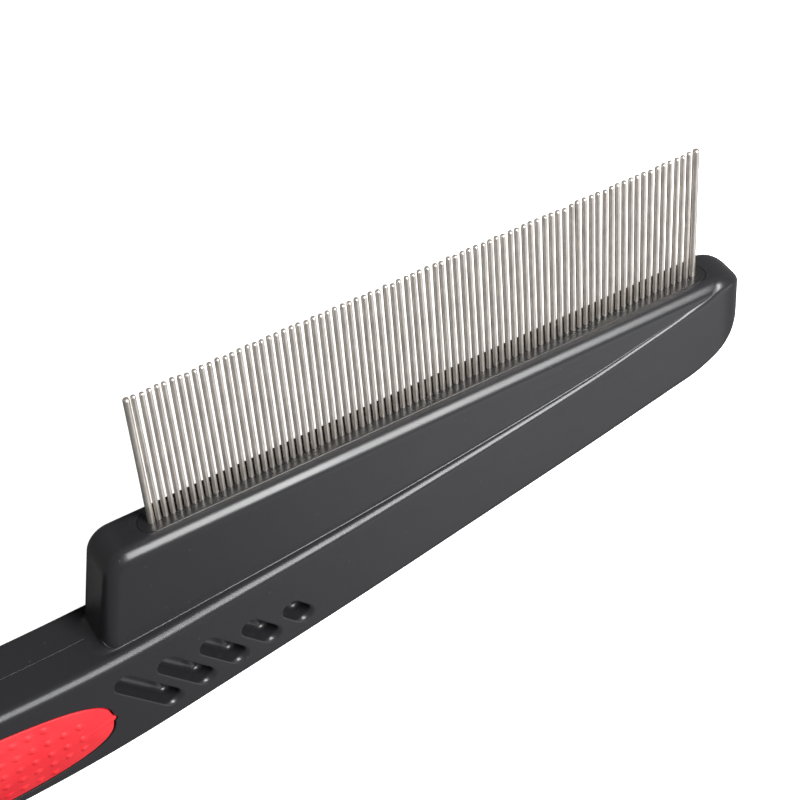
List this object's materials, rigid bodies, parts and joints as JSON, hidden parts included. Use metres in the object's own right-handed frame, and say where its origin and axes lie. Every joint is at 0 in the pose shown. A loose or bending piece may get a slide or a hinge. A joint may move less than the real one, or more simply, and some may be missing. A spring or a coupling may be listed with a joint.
{
  "type": "pet grooming comb",
  "caption": "Fine steel-pin grooming comb with a long black moulded body, red rubber grip pads, blind pockets and a hanging hole.",
  "frame": {"origin": "middle of the comb's box, at its lowest plane, which is the outside of the rear grip pad that it lies on", "axes": "+X from the handle to the nose, +Y towards the pin tips, +Z out of the front face"},
  "size_m": [0.22, 0.0726, 0.0178],
  "materials": {
    "body_plastic": "satin black moulded ABS",
    "strip_plastic": "gloss black moulded bar",
    "grip_rubber": "matt red thermoplastic rubber with raised dots",
    "pin_steel": "drawn steel rod with polished round tip"
  },
  "bodies": {
    "root": {"handle_front_shell": "body_plastic", "handle_rear_shell": "body_plastic", "pin_strip": "strip_plastic", "fine_pins": "pin_steel", "heel_pin": "pin_steel", "nose_pin": "pin_steel", "grip_front": "grip_rubber", "grip_rear": "grip_rubber"}
  },
  "joints": []
}
